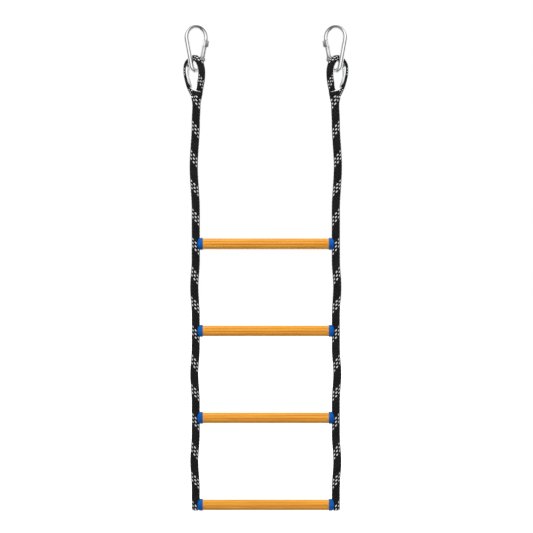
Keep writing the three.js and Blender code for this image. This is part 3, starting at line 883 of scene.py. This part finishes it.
def gate_body():
    """The gate: a round bar, cheeks slotted for the tongue, and a head with a T-shaped room for the nose."""
    slot_half = TONGUE_HALF_THICKNESS + GAP
    neck_half = NOSE_HALF_NECK + GAP
    slot_end = TONGUE_R + 1
    wide = 2 * ROD_R
    mouth = NOSE_FLAT_X - GAP
    start = NOSE_TIP - NOSE_ROOM
    blank = rod(ROD_R, 0, GATE_LENGTH)
    blank.combine(rod(ROD_R, -CHEEK_HALF_WIDTH, CHEEK_HALF_WIDTH, "y"), "UNION")
    blank.combine(gate_head(), "UNION")
    for cut in (
        block((-wide, CHEEK_HALF_WIDTH, -wide), (wide, wide, CHEEK_END)),
        block((-wide, -wide, -wide), (wide, -CHEEK_HALF_WIDTH, CHEEK_END)),
        block((-wide, -slot_half, -wide), (wide, slot_half, slot_end)),
        rod(RIVET_R + GAP, -wide, wide, "y", BORE_SIDES),
        block((mouth, -neck_half, start), (wide, neck_half, GATE_LENGTH + 1)),
        block((mouth, -ROD_R, start), (wide, ROD_R, NOSE_NECK + 0.5)),
    ):
        blank.combine(cut, "DIFFERENCE")
    return blank.soften(0.4).taken()


def rivet():
    """The gate's rivet, with a low domed head at each end."""
    half = CHEEK_HALF_WIDTH + GAP
    outer = half + RIVET_HEAD_THICKNESS
    dome = [
        (RIVET_HEAD_R * math.cos(t), half + 0.3 + (outer - half - 0.3) * math.sin(t))
        for t in np.linspace(0, 1.5, 6)
    ]
    profile = [(RIVET_R, 0), (RIVET_R, half), (RIVET_HEAD_R, half)] + dome + [(0.01, outer)]
    profile = [(r, -z) for r, z in profile[:0:-1]] + profile
    points, faces = lathe(profile, BORE_SIDES)
    return points[:, [0, 2, 1]], faces


def joined(*parts):
    """Several (points, faces) as one."""
    points, faces, base = [], [], 0
    for p, f in parts:
        points.append(np.asarray(p, float))
        faces += [[base + i for i in face] for face in f]
        base += len(p)
    return np.vstack(points), faces


NOSE, TONGUE, GATE, RIVET = nose(), tongue(), gate_body(), rivet()


def hook_pieces(side, label):
    """One hook's body, gate and rivet. Its plunger and spring stay the CAD's, inside the gate."""
    nose_end, tongue_end, gate, pin = ((gate_to_hook(p), f) for p, f in (NOSE, TONGUE, GATE, RIVET))
    body_shape = joined(hook_rod(), joined(nose_end, tongue_end))
    pieces = [
        ("snap_hook", body_shape, HOOK_ZINC, "hooks", "hook_body", "hook_zinc"),
        ("hook_gate", gate, GATE_ZINC, f"{label}_gate", "gate", "gate_zinc"),
        ("hook_rivet", pin, STEEL, "hooks", "gate_rivet", "rivet_steel"),
    ]
    for name, (points, faces), material, body, stands_for, slot in pieces:
        made = mesh_piece(f"{label}_{name}", hook_to_row(points), faces, material, None, side, 35)
        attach(made, body)
        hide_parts(f"{label}_{stands_for}")
    for part in ("plunger", "spring"):
        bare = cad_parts[f"{label}_gate_{part}"]
        bare.data.materials[0] = STEEL


# ---------------------------------------------------------------- rungs
def tube_piece(n):
    """A rung's tube: ten rounded ribs between two plain collars, open bore, softened ends."""
    half = SIDE_X - TUBE_END
    ribbed = SIDE_X - CAP_END - PLAIN_COLLAR
    around = TUBE_AROUND
    angle = np.arange(around) * 2 * math.pi / around
    share = ((angle - RIB_PHASE) / (2 * math.pi) * RIB_COUNT + 0.5) % 1 - 0.5
    groove = smoothstep(np.abs(share), 0.2, 0.46)
    crown = 0.12 * (2 * share) ** 2 * (1 - groove)
    stations = np.concatenate([
        [-half, -half + 0.5, -ribbed - 1],
        np.linspace(-ribbed, -ribbed + GROOVE_END, 5),
        np.linspace(-ribbed + 3, ribbed - 3, 40),
        np.linspace(ribbed - GROOVE_END, ribbed, 5),
        [ribbed + 1, half - 0.5, half],
    ])
    rings = []
    for x in stations:
        depth = smoothstep(ribbed - abs(x), 0, GROOVE_END)
        radius = TUBE_R - depth * (1.5 * GROOVE_DEPTH * groove + crown)
        if abs(x) == half:
            radius = radius - 0.4
        rings.append(np.stack([np.full(around, x), -radius * np.cos(angle), radius * np.sin(angle)], -1))
    bore = [
        np.stack([np.full(around, x), -TUBE_BORE_R * np.cos(angle), TUBE_BORE_R * np.sin(angle)], -1)
        for x in (half, -half)
    ]
    count = len(rings) + 2
    faces = ring_faces(count, around)[:-2]
    last = (count - 1) * around
    faces += [[last + j, last + (j + 1) % around, (j + 1) % around, j] for j in range(around)]
    points = np.vstack(rings + bore) + np.array([0, 0, rung_z(n)])
    made = mesh_piece(f"rung_{n + 1}_resin_tube", points, faces, RESIN, None, -1, 50)
    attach(made, f"rung_{n + 1}")
    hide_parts(f"rung_{n + 1}_tube")


def end_cap():
    """A domed collar with a rim bead and a spigot, saddled on the side rope; its axis is X."""
    body_r = CAP_R - CAP_BEAD
    dome = [
        (body_r * math.sin(t), CAP_DOME_CENTRE - CAP_DOME_DEPTH * math.cos(t))
        for t in np.linspace(0.02, math.pi / 2, 22)
    ]
    bead = [(body_r, 17.4), (CAP_R - 0.05, 17.9), (CAP_R, 18.4), (CAP_R, CAP_END - CAP_RIM_R)]
    edge = [
        (CAP_R - CAP_RIM_R * (1 - math.cos(t)), CAP_END - CAP_RIM_R + CAP_RIM_R * math.sin(t))
        for t in (0.5, 1.0, 1.57)
    ]
    mouth = TUBE_R + GAP
    groove = TUBE_END - GAP
    spigot = TUBE_BORE_R - GAP
    inside = [
        (mouth, CAP_END), (mouth, groove), (spigot, groove),
        (spigot, CAP_SPIGOT_END), (0.02, CAP_SPIGOT_END),
    ]
    points, faces = lathe(dome + bead + edge + inside, CAP_SIDES)
    cap = Solid(points[:, [2, 1, 0]], faces)
    cap.combine(rod(ROPE_R + 0.35, -30, 30, "z", CAP_SIDES), "DIFFERENCE")
    cap.combine(rod(CROSS_ROPE_HOLE_R, -20, 60, "x", BORE_SIDES), "DIFFERENCE")
    return cap.soften(0.45, 2, 34).taken()


CAP = end_cap()


def cap_pieces(side, label):
    """The end caps of one side's four rungs."""
    for n in range(RUNG_COUNT):
        points = CAP[0] + np.array([-SIDE_X, 0, rung_z(n)])
        made = mesh_piece(f"rung_{n + 1}_{label}_end_cap", points, CAP[1], CAP_BLUE, None, side, 35)
        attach(made, f"rung_{n + 1}")
        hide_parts(f"rung_{n + 1}_{label}_cap")


for side, label in ((-1, "left"), (1, "right")):
    hang_ropes(side, label)
    eye_piece(side, label)
    splice_piece(side, label)
    thimble_piece(side, label)
    thimble_tail(side, label)
    hook_pieces(side, label)
    cap_pieces(side, label)
for n in range(RUNG_COUNT):
    tube_piece(n)
    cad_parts[f"rung_{n + 1}_cross_rope"].data.materials[0] = CORE


# ---------------------------------------------------------------- floor, light
def floor():
    """A plain white floor below the ladder's feet."""
    material, _, principled = shader("floor_white", Roughness=0.9, Emission_Strength=0.5)
    principled.inputs["Base Color"].default_value = (0.88, 0.88, 0.88, 1)
    principled.inputs["Emission Color"].default_value = (1, 1, 1, 1)
    half = FLOOR_HALF_WIDTH / MM
    corners = [(-half, -half, 0), (half, -half, 0), (half, half, 0), (-half, half, 0)]
    made = mesh_piece("floor", corners, [(0, 1, 2, 3)], material)
    made.location.z = FLOOR_Z
    made.visible_diffuse = made.visible_glossy = False


def area_light(name, place, width, height, power):
    """A soft white lamp aimed at the ladder's middle."""
    data = bpy.data.lights.new(name, "AREA")
    data.shape, data.size, data.size_y = "RECTANGLE", width, height
    data.energy = power
    made = bpy.data.objects.new(name, data)
    made.location = place
    heading = Vector(LADDER_MIDDLE) - Vector(place)
    made.rotation_euler = heading.to_track_quat("-Z", "Y").to_euler()
    made.visible_glossy = False
    bpy.context.scene.collection.objects.link(made)


def studio():
    """A white background that lights the ladder, and shows in its metal, as a studio with darker sides."""
    world = bpy.data.worlds.new("studio")
    bpy.context.scene.world = world
    world.use_nodes = True
    tree = world.node_tree
    tree.nodes.clear()
    heading = node(tree, "SeparateXYZ", {0: node(tree, "TexCoord").outputs["Generated"]})
    depth = maths(tree, "MULTIPLY_ADD", heading.outputs[1], 0.5, 0.5)
    around = ramp(tree, depth, [
        (0.0, (1, 1, 1)), (0.06, (0.75, 0.75, 0.75)), (0.18, (0.1, 0.1, 0.1)),
        (0.36, (0.1, 0.1, 0.1)), (0.5, (0.62, 0.62, 0.62)), (0.65, (0.8, 0.8, 0.8)),
    ])
    up = ramp(tree, maths(tree, "MULTIPLY_ADD", heading.outputs[2], 0.5, 0.5), [
        (0.25, (0.0, 0.0, 0.0)), (0.5, (0.0, 0.0, 0.0)), (0.9, (0.4, 0.4, 0.4)),
    ])
    lit = mix(tree, 1.0, around, up, "ADD")
    seen = node(tree, "Background", {"Color": (1, 1, 1, 1), "Strength": 1.0})
    light = node(tree, "Background", {"Color": lit, "Strength": 1.3})
    path = node(tree, "LightPath").outputs["Is Camera Ray"]
    both = node(tree, "MixShader", {0: path, 1: light.outputs[0], 2: seen.outputs[0]})
    node(tree, "OutputWorld", {"Surface": both.outputs[0]})
    area_light("key", (-1.4, -4.4, 2.0), 3, 3, 115)
    area_light("fill", (3.2, -4.4, -0.2), 4, 4, 12)
    area_light("top", (0, -0.9, 2.4), 3, 2, 30)
    bpy.context.scene.view_settings.view_transform = "Standard"


floor()
studio()
